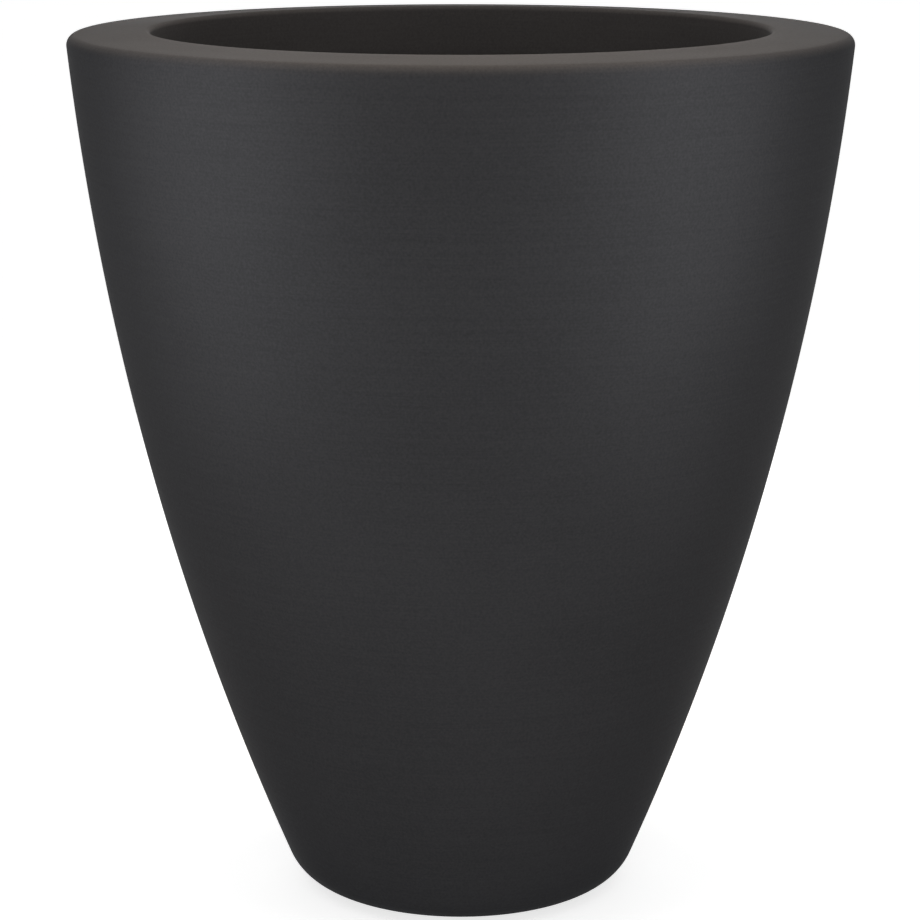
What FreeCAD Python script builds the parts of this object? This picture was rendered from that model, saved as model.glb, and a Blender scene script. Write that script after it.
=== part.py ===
import FreeCAD, Part
import math
import os

# A tall round planter in glass-fibre laminate. The body is turned about the Z axis: its wall is one long
# arc that leans outwards from a rounded base edge to a wide, slightly sloping rim.
# Millimetres, +Z up. The origin is on the floor, under the middle of the planter.

# Outside shape
total_height = 864.0  # floor to the rim's inner edge
top_diameter = 762.0  # where the wall and the rim's top would meet without rounding
middle_diameter = 615.5  # half way between the base and that corner
base_diameter = 326.5  # where the wall and the base would meet without rounding
base_edge_radius = 50.0
rim_width = 81.0
rim_rise = 3.5  # the rim's inner edge stands this much above its outer corner, so rain runs off
rim_outer_radius = 10.0
rim_inner_radius = 5.0

# Laminate and its bonded joints
wall = 5.0
bond_line = 0.3  # film of adhesive between bonded faces

# Rim cap, its core and the ring that closes it
rim_seam_drop = 16.0  # joint of wall and cap, below the outer corner
rim_thickness = 5.0
skirt_thickness = 4.0
skirt_overhang = 24.0  # how far the skirt reaches below the closing ring
return_thickness = 4.0
return_overhang = 22.0  # how far the inner lip reaches below the closing ring
rim_core_height = 20.0
closing_thickness = 3.0

# Floor
recess_radius = 86.0  # at the base plane
recess_depth = 22.0
recess_draft = 30.0  # degrees off vertical
floor_panel_thickness = 3.0
floor_lap_height = 28.0  # the panel's edge turned up against the wall

# Drain
drain_bore_radius = 16.0
drain_thread_radius = 21.0
drain_flange_radius = 36.0
drain_flange_thickness = 5.0
drain_hole_clearance = 0.5
drain_gasket_radius = 33.0
drain_gasket_thickness = 2.0
locknut_across_flats = 56.0
locknut_thickness = 9.0
thread_clearance = 0.05
spigot_radius = 18.5
spigot_length = 8.0
spigot_step = 1.0  # thread left showing between the nut and the spigot
spigot_chamfer = 0.8

# Drain stopper
stopper_head_radius = 24.0
stopper_head_thickness = 4.0
stopper_stem_length = 22.0
stopper_stem_clearance = 0.3
stopper_taper = 1.5  # the stem's end is this much smaller in radius
stopper_loop_radius = 16.0
stopper_loop_hole_radius = 9.5
stopper_loop_thickness = 7.0
stopper_loop_rise = 12.0  # the loop's centre above the head

# Plant shelf and the cleats that it rests on
shelf_thickness = 12.0
shelf_mouth_clearance = 15.0  # all round, as the shelf passes the rim
shelf_edge_clearance = 2.0
shelf_edge_rounding = 2.0
shelf_hole_radius = 5.0
shelf_hole_pitch = 50.0
shelf_hole_margin = 22.0  # plain band at the shelf's edge
finger_slot_length = 96.0
finger_slot_width = 30.0
cleat_count = 4
cleat_depth = 32.0
cleat_nose = 8.0
cleat_height = 48.0
cleat_width = 56.0

# Feet
foot_count = 4
foot_radius = 19.0
foot_height = 3.0
screw_head_radius = 4.4
screw_head_height = 2.3
screw_shank_radius = 2.2
screw_length = 21.0
screw_sink = 0.5  # the head lies this far inside the pad
screw_pilot_clearance = 0.05
screw_hole_clearance = 0.4
screw_drive_radius = 1.7
screw_drive_depth = 1.2

# Levels, from the floor up
base_level = foot_height
corner_level = total_height - rim_rise
seam_level = corner_level - rim_seam_drop
under_rim_level = corner_level - rim_thickness
core_low_level = under_rim_level - rim_core_height
closing_low_level = core_low_level - closing_thickness
skirt_low_level = closing_low_level - skirt_overhang
return_low_level = closing_low_level - return_overhang
recess_level = base_level + recess_depth
panel_low_level = recess_level + wall
floor_level = panel_low_level + floor_panel_thickness
flange_low_level = floor_level + drain_gasket_thickness
flange_top_level = flange_low_level + drain_flange_thickness
nut_low_level = recess_level - locknut_thickness
spigot_top_level = nut_low_level - spigot_step
spigot_low_level = spigot_top_level - spigot_length

# Radii that follow
top_radius = top_diameter / 2
mouth_radius = top_radius - rim_width
drain_hole_radius = drain_thread_radius + drain_hole_clearance
skirt_outer_depth = wall + bond_line
skirt_inner_depth = skirt_outer_depth + skirt_thickness
core_depth = skirt_inner_depth + bond_line

AXIS_POINT = FreeCAD.Vector(0, 0, 0)
UP = FreeCAD.Vector(0, 0, 1)


def circle_through(first, second, third):
    """Centre and radius of the circle through three points (r, z)."""
    (r1, z1), (r2, z2), (r3, z3) = first, second, third
    s1 = r1 * r1 + z1 * z1
    s2 = r2 * r2 + z2 * z2
    s3 = r3 * r3 + z3 * z3
    double_area = 2 * (r1 * (z2 - z3) + r2 * (z3 - z1) + r3 * (z1 - z2))
    centre_r = (s1 * (z2 - z3) + s2 * (z3 - z1) + s3 * (z1 - z2)) / double_area
    centre_z = (s1 * (r3 - r2) + s2 * (r1 - r3) + s3 * (r2 - r1)) / double_area
    return centre_r, centre_z, math.hypot(r1 - centre_r, z1 - centre_z)


# The wall's arc. A depth is measured square to the outer face, into the wall.
curve_r, curve_z, curve_radius = circle_through(
    (base_diameter / 2, base_level),
    (middle_diameter / 2, (base_level + corner_level) / 2),
    (top_radius, corner_level),
)


def wall_radius(level, depth):
    """Radius of the wall's face at a level, at a depth inside the outer face."""
    return curve_r + math.sqrt((curve_radius - depth) ** 2 - (level - curve_z) ** 2)


def wall_level(radius, depth):
    """Level at which the face at a depth has this radius."""
    return curve_z - math.sqrt((curve_radius - depth) ** 2 - (radius - curve_r) ** 2)


# The base edge's arc: it touches the base plane and runs smoothly into the wall.
edge_z = base_level + base_edge_radius
edge_r = curve_r + math.sqrt((curve_radius - base_edge_radius) ** 2 - (edge_z - curve_z) ** 2)
edge_end_angle = math.atan2(edge_z - curve_z, edge_r - curve_r)


def vector(point):
    return FreeCAD.Vector(point[0], 0, point[1])


def line(start, end):
    return Part.LineSegment(vector(start), vector(end)).toShape()


def polyline(points):
    return [line(start, end) for start, end in zip(points, points[1:])]


def arc(start, middle, end):
    return Part.Arc(vector(start), vector(middle), vector(end)).toShape()


def wall_arc(from_level, to_level, depth):
    """Stretch of the wall's face at a depth, between two levels."""
    levels = (from_level, (from_level + to_level) / 2, to_level)
    return arc(*[(wall_radius(level, depth), level) for level in levels])


def base_edge_point(angle, depth):
    radius = base_edge_radius - depth
    return edge_r + radius * math.cos(angle), edge_z + radius * math.sin(angle)


def base_edge_arc(depth):
    """The rounded base edge at a depth, from the base plane to the wall."""
    start = -math.pi / 2
    angles = (start, (start + edge_end_angle) / 2, edge_end_angle)
    return arc(*[base_edge_point(angle, depth) for angle in angles])


def turned(edges, angle=360):
    """Solid made by turning a closed outline, drawn at y = 0, about the Z axis."""
    outline = Part.Wire(Part.__sortEdges__(edges))
    return Part.Face(outline).revolve(AXIS_POINT, UP, angle)


def ring(inner_radius, outer_radius, low, high):
    """Flat washer between two radii and two levels."""
    outer = Part.makeCylinder(outer_radius, high - low, FreeCAD.Vector(0, 0, low))
    return outer.cut(bore(inner_radius, low, high))


def bore(radius, low, high):
    """Cutter for a hole on the axis, a little longer than the piece that it goes through."""
    margin = 1.0
    return Part.makeCylinder(radius, high - low + 2 * margin, FreeCAD.Vector(0, 0, low - margin))


def around(solid, count, first_angle=0.0):
    """Copies of a solid, evenly spaced about the Z axis."""
    copies = []
    for index in range(count):
        copy = solid.copy()
        copy.rotate(AXIS_POINT, UP, first_angle + index * 360 / count)
        copies.append(copy)
    return copies


def circular_edges(solid, radius, level):
    """Edges of a solid that run round the Z axis at this radius and level."""
    found = []
    for edge in solid.Edges:
        box = edge.BoundBox
        at_level = abs(box.ZMin - level) < 0.01 and abs(box.ZMax - level) < 0.01
        if at_level and abs(box.XMax - radius) < 0.01:
            found.append(edge)
    return found


def inside_of_body(depth, high):
    """The planter's whole volume up to a level, taken in by a depth from its outer face."""
    end = base_edge_point(edge_end_angle, depth)
    bottom = base_level + depth
    edges = [line((0, bottom), (edge_r, bottom)), base_edge_arc(depth)]
    edges += [wall_arc(end[1], high, depth)]
    edges += polyline([(wall_radius(high, depth), high), (0, high), (0, bottom)])
    return turned(edges)


def outer_shell():
    """Moulded wall and base in one, with the underside raised in the middle."""
    outer_end = base_edge_point(edge_end_angle, 0)
    inner_end = base_edge_point(edge_end_angle, wall)
    recess_top_radius = recess_radius - recess_depth * math.tan(math.radians(recess_draft))
    offset = wall * math.tan(math.radians((90 - recess_draft) / 2))
    edges = [base_edge_arc(0), wall_arc(outer_end[1], seam_level, 0)]
    edges += [line((wall_radius(seam_level, 0), seam_level), (wall_radius(seam_level, wall), seam_level))]
    edges += [wall_arc(seam_level, inner_end[1], wall), base_edge_arc(wall)]
    edges += polyline([
        (edge_r, base_level + wall),
        (recess_radius + offset, base_level + wall),
        (recess_top_radius + offset, recess_level + wall),
        (drain_hole_radius, recess_level + wall),
        (drain_hole_radius, recess_level),
        (recess_top_radius, recess_level),
        (recess_radius, base_level),
        (edge_r, base_level),
    ])
    shell = turned(edges)
    return shell.cut(screw_holes(screw_shank_radius + screw_hole_clearance))


def rim_cap():
    """Wide rim with a flush outer face, a skirt bonded inside the wall and a lip turned down inside."""
    edges = [wall_arc(seam_level, corner_level, 0)]
    edges += polyline([
        (top_radius, corner_level),
        (mouth_radius, total_height),
        (mouth_radius, return_low_level),
        (mouth_radius + return_thickness, return_low_level),
        (mouth_radius + return_thickness, under_rim_level),
        (wall_radius(under_rim_level, skirt_inner_depth), under_rim_level),
    ])
    edges += [wall_arc(under_rim_level, skirt_low_level, skirt_inner_depth)]
    edges += [line(
        (wall_radius(skirt_low_level, skirt_inner_depth), skirt_low_level),
        (wall_radius(skirt_low_level, skirt_outer_depth), skirt_low_level),
    )]
    edges += [wall_arc(skirt_low_level, seam_level, skirt_outer_depth)]
    edges += [line(
        (wall_radius(seam_level, skirt_outer_depth), seam_level),
        (wall_radius(seam_level, 0), seam_level),
    )]
    cap = turned(edges)
    cap = cap.makeFillet(rim_outer_radius, circular_edges(cap, top_radius, corner_level))
    return cap.makeFillet(rim_inner_radius, circular_edges(cap, mouth_radius, total_height))


def band_under_rim(low, high):
    """Ring that fills the rim's channel between two levels."""
    inner = mouth_radius + return_thickness + bond_line
    edges = polyline([
        (wall_radius(high, core_depth), high),
        (inner, high),
        (inner, low),
        (wall_radius(low, core_depth), low),
    ])
    return turned(edges + [wall_arc(low, high, core_depth)])


def recess_block(grow):
    """The raised middle of the base as a solid, grown outwards by a distance."""
    slant = math.radians(recess_draft)
    high = panel_low_level
    low_radius = recess_radius + grow / math.cos(slant)
    high_radius = low_radius - (high - base_level) * math.tan(slant)
    return Part.makeCone(low_radius, high_radius, high - base_level, FreeCAD.Vector(0, 0, base_level))


def slab(low, high):
    """Everything between two levels."""
    return Part.makeCylinder(top_radius, high - low, FreeCAD.Vector(0, 0, low))


def floor_core():
    """Plywood ring that fills the base round its raised middle and holds the foot screws."""
    core = inside_of_body(wall + bond_line, seam_level).common(slab(base_level, panel_low_level))
    core = core.cut(recess_block(wall + bond_line))
    return core.cut(screw_holes(screw_shank_radius + screw_pilot_clearance))


def floor_panel():
    """Inner floor with its edge turned up against the wall."""
    depth = wall + bond_line
    lap_level = floor_level + floor_lap_height
    outer = inside_of_body(depth, lap_level).common(slab(panel_low_level, lap_level))
    hollow = inside_of_body(depth + floor_panel_thickness, seam_level).common(slab(floor_level, seam_level))
    return outer.cut(hollow).cut(bore(drain_hole_radius, panel_low_level, lap_level))


def drain_fitting():
    """Flanged through-fitting with a threaded tail and a hose spigot."""
    fitting = turned(polyline([
        (drain_bore_radius, flange_top_level),
        (drain_bore_radius, spigot_low_level),
        (spigot_radius - spigot_chamfer, spigot_low_level),
        (spigot_radius, spigot_low_level + spigot_chamfer),
        (spigot_radius, spigot_top_level),
        (drain_thread_radius, spigot_top_level),
        (drain_thread_radius, flange_low_level),
        (drain_flange_radius, flange_low_level),
        (drain_flange_radius, flange_top_level),
        (drain_bore_radius, flange_top_level),
    ]))
    rounding = drain_flange_thickness / 3
    return fitting.makeFillet(rounding, circular_edges(fitting, drain_flange_radius, flange_top_level))


def drain_gasket():
    return ring(drain_hole_radius, drain_gasket_radius, floor_level, flange_low_level)


def hexagon(across_flats, low, high):
    """Six-sided bar on the axis."""
    corner_radius = across_flats / math.sqrt(3)
    corners = []
    for index in range(7):
        angle = math.radians(60 * index)
        corners.append(FreeCAD.Vector(corner_radius * math.cos(angle), corner_radius * math.sin(angle), low))
    return Part.Face(Part.makePolygon(corners)).extrude(FreeCAD.Vector(0, 0, high - low))


def drain_locknut():
    """Hexagon nut on the fitting's tail, against the underside, with its lower corners taken off."""
    nut = hexagon(locknut_across_flats, nut_low_level, recess_level)
    low_radius = locknut_across_flats / 2
    height = recess_level - nut_low_level
    nut = nut.common(Part.makeCone(low_radius, low_radius + 2 * height, height, FreeCAD.Vector(0, 0, nut_low_level)))
    return nut.cut(bore(drain_thread_radius + thread_clearance, nut_low_level, recess_level))


def drain_stopper():
    """Rubber stopper: a head on the flange, a tapered stem in the bore and a loop to pull it by."""
    stem_radius = drain_bore_radius - stopper_stem_clearance
    stem_low_level = flange_top_level - stopper_stem_length
    head_top_level = flange_top_level + stopper_head_thickness
    body = turned(polyline([
        (0, stem_low_level),
        (stem_radius - stopper_taper, stem_low_level),
        (stem_radius, flange_top_level),
        (stopper_head_radius, flange_top_level),
        (stopper_head_radius, head_top_level),
        (0, head_top_level),
        (0, stem_low_level),
    ]))
    rounding = stopper_head_thickness / 3
    body = body.makeFillet(rounding, circular_edges(body, stopper_head_radius, head_top_level))
    loop_level = head_top_level + stopper_loop_rise
    half = stopper_loop_thickness / 2
    centre = FreeCAD.Vector(0, -half, loop_level)
    along_y = FreeCAD.Vector(0, 1, 0)
    eye = Part.makeCylinder(stopper_loop_radius, stopper_loop_thickness, centre, along_y)
    foot_corner = FreeCAD.Vector(-stopper_loop_radius, -half, flange_top_level + rounding)
    foot_rise = loop_level - foot_corner.z
    foot = Part.makeBox(2 * stopper_loop_radius, stopper_loop_thickness, foot_rise, foot_corner)
    hole = Part.makeCylinder(stopper_loop_hole_radius, stopper_loop_thickness, centre, along_y)
    return body.fuse(eye.fuse(foot).cut(hole)).removeSplitter()


# The shelf is as wide as the mouth lets through, and lies where the tapering wall is that wide.
shelf_radius = mouth_radius - shelf_mouth_clearance
shelf_low_level = wall_level(shelf_radius + shelf_edge_clearance, wall)
shelf_top_level = shelf_low_level + shelf_thickness
shelf_hole_rings = int((shelf_radius - shelf_hole_margin) / shelf_hole_pitch)


def finger_slot(distance):
    """Cutter for one round-ended slot, across the X axis at a distance from the middle."""
    radius = finger_slot_width / 2
    straight = finger_slot_length - finger_slot_width
    corner = FreeCAD.Vector(distance - radius, -straight / 2, shelf_low_level)
    slot = Part.makeBox(finger_slot_width, straight, shelf_thickness, corner)
    for end in (-straight / 2, straight / 2):
        slot = slot.fuse(Part.makeCylinder(radius, shelf_thickness, FreeCAD.Vector(distance, end, shelf_low_level)))
    return slot


def plant_shelf():
    """Loose perforated disc, the false bottom, with two slots to lift it by."""
    shelf = Part.makeCylinder(shelf_radius, shelf_thickness, FreeCAD.Vector(0, 0, shelf_low_level))
    edges = circular_edges(shelf, shelf_radius, shelf_top_level)
    edges += circular_edges(shelf, shelf_radius, shelf_low_level)
    shelf = shelf.makeFillet(shelf_edge_rounding, edges)
    slot_distance = (shelf_hole_rings - 0.5) * shelf_hole_pitch
    cutters = [finger_slot(slot_distance), finger_slot(-slot_distance)]
    for index in range(1, shelf_hole_rings + 1):
        corner = FreeCAD.Vector(0, index * shelf_hole_pitch, shelf_low_level)
        hole = Part.makeCylinder(shelf_hole_radius, shelf_thickness, corner)
        cutters += around(hole, 6 * index, 180 / (6 * index))
    return shelf.cut(Part.makeCompound(cutters))


def shelf_cleats():
    """Blocks bonded to the wall, with flat tops for the shelf and sloping undersides."""
    depth = wall + bond_line
    low_level = shelf_low_level - cleat_height
    nose_radius = wall_radius(shelf_low_level, depth) - cleat_depth
    edges = polyline([
        (wall_radius(shelf_low_level, depth), shelf_low_level),
        (nose_radius, shelf_low_level),
        (nose_radius, shelf_low_level - cleat_nose),
        (wall_radius(low_level, depth), low_level),
    ])
    edges += [wall_arc(low_level, shelf_low_level, depth)]
    spread = math.degrees(cleat_width / wall_radius(shelf_low_level, depth))
    cleat = turned(edges, spread)
    return Part.makeCompound(around(cleat, cleat_count, 180 / cleat_count - spread / 2))


foot_circle_radius = (recess_radius + edge_r) / 2
screw_low_level = screw_sink
screw_neck_level = screw_sink + screw_head_height


def on_feet(solid):
    """Copies of a solid made on the axis, one at each foot."""
    solid.translate(FreeCAD.Vector(foot_circle_radius, 0, 0))
    return around(solid, foot_count, 180 / foot_count)


def screw_holes(radius):
    """Cutters for the straight part of the four screws."""
    return Part.makeCompound(on_feet(Part.makeCylinder(radius, screw_low_level + screw_length)))


def foot_screws():
    """Countersunk screws that hold the foot pads to the base."""
    screw = turned(polyline([
        (0, screw_low_level),
        (screw_head_radius, screw_low_level),
        (screw_shank_radius, screw_neck_level),
        (screw_shank_radius, screw_low_level + screw_length - screw_shank_radius),
        (0, screw_low_level + screw_length),
        (0, screw_low_level),
    ]))
    drive = hexagon(screw_drive_radius * math.sqrt(3), screw_low_level, screw_low_level + screw_drive_depth)
    return Part.makeCompound(on_feet(screw.cut(drive)))


def foot_pads():
    """Rubber pads under the base's flat ring."""
    pad = Part.makeCylinder(foot_radius, foot_height)
    head_radius = screw_head_radius + screw_pilot_clearance
    shank_radius = screw_shank_radius + screw_pilot_clearance
    pad = pad.cut(Part.makeCylinder(head_radius, screw_sink))
    seat = Part.makeCone(head_radius, shank_radius, screw_head_height, FreeCAD.Vector(0, 0, screw_sink))
    pad = pad.cut(seat).cut(bore(shank_radius, 0, foot_height))
    return Part.makeCompound(on_feet(pad))


def write(node, shape):
    shape.exportStep("parts/" + node + ".step")
    box = shape.BoundBox
    litres = shape.Volume / 1e6
    print(f"{node}: {len(shape.Solids)} solid(s), valid {shape.isValid()}, {litres:.4f} l, "
          f"z {box.ZMin:.2f} to {box.ZMax:.2f}, radius {box.XMax:.2f}")


os.makedirs("parts", exist_ok=True)
write("outer_shell", outer_shell())
write("rim_cap", rim_cap())
write("rim_core", band_under_rim(core_low_level, under_rim_level))
write("rim_closing_ring", band_under_rim(closing_low_level, core_low_level))
write("floor_core", floor_core())
write("floor_panel", floor_panel())
write("shelf_cleats", shelf_cleats())
write("plant_shelf", plant_shelf())
write("drain_fitting", drain_fitting())
write("drain_gasket", drain_gasket())
write("drain_locknut", drain_locknut())
write("drain_stopper", drain_stopper())
write("foot_pads", foot_pads())
write("foot_screws", foot_screws())
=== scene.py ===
import math

import bpy
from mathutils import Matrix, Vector, noise


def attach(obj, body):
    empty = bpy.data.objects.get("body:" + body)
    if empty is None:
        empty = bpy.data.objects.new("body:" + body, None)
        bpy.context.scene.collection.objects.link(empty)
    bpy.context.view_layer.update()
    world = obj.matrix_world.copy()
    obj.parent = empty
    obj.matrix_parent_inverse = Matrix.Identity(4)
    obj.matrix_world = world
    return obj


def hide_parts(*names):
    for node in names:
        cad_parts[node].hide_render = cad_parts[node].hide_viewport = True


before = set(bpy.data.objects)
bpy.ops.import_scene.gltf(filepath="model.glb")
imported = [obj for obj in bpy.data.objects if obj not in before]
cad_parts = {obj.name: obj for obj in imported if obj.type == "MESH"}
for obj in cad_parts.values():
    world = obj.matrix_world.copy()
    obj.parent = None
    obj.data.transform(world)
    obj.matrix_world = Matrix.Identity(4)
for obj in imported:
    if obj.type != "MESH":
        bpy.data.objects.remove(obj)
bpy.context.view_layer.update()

# A tall round planter in glass-fibre laminate, charcoal gelcoat outside and bare dark laminate inside.
# Metres, +Z up, standing on the floor at z = 0.

body = {
    "curveR": -2.456453,  # centre and radius of the long arc that the wall follows
    "curveZ": 1.124634,
    "curveRadius": 2.849720,
    "base": 0.003,
    "edgeRadius": 0.050,
    "edgeR": 0.130057,  # centre of the rounded base edge
    "edgeEnd": -0.39279,  # where that rounding runs into the wall, in radians
    "edgeSteps": 18,
    "thickness": 0.005,
    "seam": 0.8445,
    "recessRadius": 0.086,
    "recessTop": 0.025,
    "recessSlant": math.radians(30),
    "recessRounding": 0.004,
    "drainHole": 0.0215,
    "segments": 288,
    "ringStep": 0.009,  # height of a face on the wall
    "flatShare": 1.3,  # faces on straight runs may be this much longer
}


def wallRadius(level, depth=0.0):
    reach = body["curveRadius"] - depth
    return body["curveR"] + math.sqrt(reach ** 2 - (level - body["curveZ"]) ** 2)


def wallLine(low, high, depth, finish):
    # points up or down the wall's face, at a depth inside the outer face
    count = max(2, round(abs(high - low) / body["ringStep"]))
    levels = [low + (high - low) * k / count for k in range(count + 1)]
    return [(wallRadius(level, depth), level, finish) for level in levels]


def baseEdge(depth, finish, upwards=True):
    radius = body["edgeRadius"] - depth
    centre = body["base"] + body["edgeRadius"]
    start, end, steps = -math.pi / 2, body["edgeEnd"], body["edgeSteps"]
    angles = [start + (end - start) * k / steps for k in range(steps + 1)]
    if not upwards:
        angles.reverse()
    return [(body["edgeR"] + radius * math.cos(a), centre + radius * math.sin(a), finish) for a in angles]


def rounded(before, corner, after, radius, finish, steps=5):
    # an arc in place of a corner of an outline
    corner = Vector(corner)
    toBefore = (Vector(before) - corner).normalized()
    toAfter = (Vector(after) - corner).normalized()
    half = toBefore.angle(toAfter) / 2
    centre = corner + (toBefore + toAfter).normalized() * radius / math.sin(half)
    first = corner + toBefore * radius / math.tan(half) - centre
    last = corner + toAfter * radius / math.tan(half) - centre
    turn = first.angle_signed(last)
    points = []
    for k in range(steps + 1):
        angle = -turn * k / steps
        x = first.x * math.cos(angle) - first.y * math.sin(angle)
        y = first.x * math.sin(angle) + first.y * math.cos(angle)
        points.append((centre.x + x, centre.y + y, finish))
    return points


def softOutline(corners, radii, finish=0, steps=4):
    # a closed outline with each corner rounded; a radius of 0 leaves it sharp
    points = []
    for k, (corner, radius) in enumerate(zip(corners, radii)):
        if radius > 0:
            points += rounded(corners[k - 1], corner, corners[(k + 1) % len(corners)], radius, finish, steps)
        else:
            points.append((*corner, finish))
    return points


def closeUp(outline, step):
    # more points on the long straights, so that every face stays small
    points = []
    for k, (r, z, finish) in enumerate(outline):
        nextR, nextZ, _ = outline[(k + 1) % len(outline)]
        count = max(1, round(math.hypot(nextR - r, nextZ - z) / step))
        for j in range(count):
            t = j / count
            points.append((r + (nextR - r) * t, z + (nextZ - z) * t, finish))
    return points


def turnedPiece(name, outline, finishes, segments=96, reshape=None, sharpAngle=35, copies=((0, 0),)):
    # a closed outline of (radius, level, finish number) turned about the axis of each copy;
    # reshape may change a point's radius and level
    vertices, faces, faceFinish = [], [], []
    for copyX, copyY in copies:
        rings = []
        for r, z, _ in outline:
            if r < 1e-7:
                rings.append([len(vertices)])
                vertices.append((copyX, copyY, z))
                continue
            ring = []
            for s in range(segments):
                angle = 2 * math.pi * s / segments
                ringR, ringZ = reshape(angle, r, z) if reshape else (r, z)
                ring.append(len(vertices))
                vertices.append((copyX + ringR * math.cos(angle), copyY + ringR * math.sin(angle), ringZ))
            rings.append(ring)
        for k, (low, high) in enumerate(zip(rings, rings[1:] + rings[:1])):
            if len(low) == 1 and len(high) == 1:
                continue
            for s in range(segments):
                t = (s + 1) % segments
                if len(low) == 1:
                    faces.append((low[0], high[t], high[s]))
                elif len(high) == 1:
                    faces.append((low[s], low[t], high[0]))
                else:
                    faces.append((low[s], low[t], high[t], high[s]))
                faceFinish.append(outline[k][2])
    mesh = bpy.data.meshes.new(name)
    mesh.from_pydata(vertices, [], faces)
    mesh.polygons.foreach_set("material_index", faceFinish)
    return shownPiece(name, mesh, finishes, sharpAngle)


def shownPiece(name, mesh, finishes, sharpAngle):
    for finish in finishes:
        mesh.materials.append(finish)
    mesh.validate()
    mesh.update()
    mesh.shade_smooth()
    mesh.set_sharp_from_angle(angle=math.radians(sharpAngle))
    piece = bpy.data.objects.new(name, mesh)
    bpy.context.scene.collection.objects.link(piece)
    return piece


def place(piece, bodyName, slotName, node):
    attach(piece, bodyName)
    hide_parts(node)


# Finishes: helpers that add one node each, then a dictionary and a function for each finish

def newFinish(name):
    material = bpy.data.materials.new(name)
    material.use_nodes = True
    tree = material.node_tree
    shader = tree.nodes["Principled BSDF"]
    shader.location = (300, 0)
    return material, tree, shader


def addNode(tree, kind, x, y, **settings):
    node = tree.nodes.new(kind)
    node.location = (x, y)
    for key, value in settings.items():
        setattr(node, key, value)
    return node


def pieceCoordinates(tree, scale=(1, 1, 1), rotation=(0, 0, 0)):
    coordinates = addNode(tree, "ShaderNodeTexCoord", -1300, 0)
    mapping = addNode(tree, "ShaderNodeMapping", -1100, 0)
    mapping.inputs["Scale"].default_value = scale
    mapping.inputs["Rotation"].default_value = rotation
    tree.links.new(coordinates.outputs["Object"], mapping.inputs["Vector"])
    return mapping.outputs["Vector"]


def cloud(tree, vector, scale, x, y, detail=3.0, roughness=0.5, distortion=0.0):
    texture = addNode(tree, "ShaderNodeTexNoise", x, y)
    texture.inputs["Scale"].default_value = scale
    texture.inputs["Detail"].default_value = detail
    texture.inputs["Roughness"].default_value = roughness
    texture.inputs["Distortion"].default_value = distortion
    tree.links.new(vector, texture.inputs["Vector"])
    return texture.outputs["Fac"]


def spread(tree, value, low, high, x, y, fromLow=0.3, fromHigh=0.7):
    # a texture's middle range turned into a range of numbers
    node = addNode(tree, "ShaderNodeMapRange", x, y)
    node.inputs["From Min"].default_value = fromLow
    node.inputs["From Max"].default_value = fromHigh
    node.inputs["To Min"].default_value = low
    node.inputs["To Max"].default_value = high
    tree.links.new(value, node.inputs["Value"])
    return node.outputs["Result"]


def tinted(tree, value, first, second, x, y):
    node = addNode(tree, "ShaderNodeMix", x, y, data_type="RGBA")
    node.inputs["A"].default_value = (*first, 1)
    node.inputs["B"].default_value = (*second, 1)
    tree.links.new(value, node.inputs["Factor"])
    return node.outputs["Result"]


def combined(tree, first, second, operation, x, y):
    node = addNode(tree, "ShaderNodeMath", x, y, operation=operation)
    for socket, value in zip(node.inputs, (first, second)):
        if isinstance(value, (int, float)):
            socket.default_value = value
        else:
            tree.links.new(value, socket)
    return node.outputs["Value"]


def byShares(tree, first, firstShare, second, secondShare, x, y):
    # two textures added up, each taken by its share
    firstPart = combined(tree, first, firstShare, "MULTIPLY", x - 180, y + 60)
    secondPart = combined(tree, second, secondShare, "MULTIPLY", x - 180, y - 120)
    return combined(tree, firstPart, secondPart, "ADD", x, y)


def relief(tree, height, distance, strength, x, y, under=None):
    node = addNode(tree, "ShaderNodeBump", x, y)
    node.inputs["Distance"].default_value = distance
    node.inputs["Strength"].default_value = strength
    tree.links.new(height, node.inputs["Height"])
    if under is not None:
        tree.links.new(under, node.inputs["Normal"])
    return node.outputs["Normal"]


gelcoat = {
    "light": (0.0472, 0.0476, 0.0508),
    "dark": (0.0362, 0.0366, 0.0392),
    "roughness": (0.66, 0.76),
    "specular": 0.02,
    "mottle": 5.0,  # clouds per metre
    "speckle": 420.0,
    "sandingAlong": 7.0,  # fine level lines that the last sanding leaves round the wall
    "sandingUp": 620.0,
    "pits": 260.0,
    "mottleShare": 0.3,
    "speckleShare": 0.5,
    "sandingShare": 0.2,
    "contrast": (0.38, 0.62),
    "sandingDepth": 0.00004,
    "pitDepth": 0.00005,
}


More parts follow.
